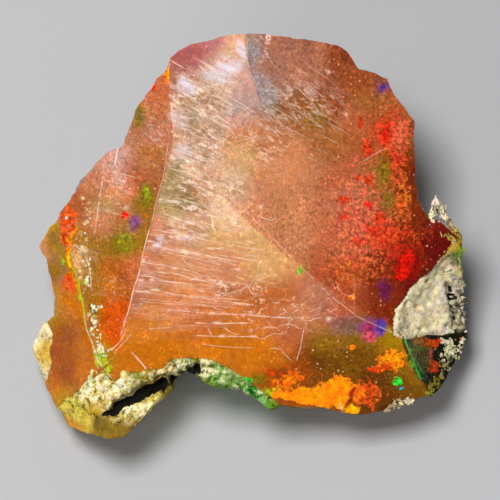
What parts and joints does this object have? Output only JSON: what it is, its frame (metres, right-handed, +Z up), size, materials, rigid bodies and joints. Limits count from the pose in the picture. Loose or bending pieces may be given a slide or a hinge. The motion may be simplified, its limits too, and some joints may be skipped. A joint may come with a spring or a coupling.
{
  "type": "rough ethiopian opal",
  "caption": "Rough precious opal with broken, hackled faces and fire patches, on the rind of host rock that it grew in; it lies on a flat of the rind.",
  "frame": {"origin": "middle of the stone's outline on the surface that it lies on, at the level of its flat", "axes": "+Z up; +X to the right of the broken front, along the stone's greatest width; +Y towards the stone's tall back, so that the front leans back 20 degrees and faces up and towards -Y"},
  "size_m": [0.0398, 0.0364, 0.0234],
  "materials": {
    "precious_opal": "gloss",
    "host_rock": "matte"
  },
  "bodies": {
    "root": {"precious_opal": "precious_opal", "host_rock": "host_rock"}
  },
  "joints": []
}
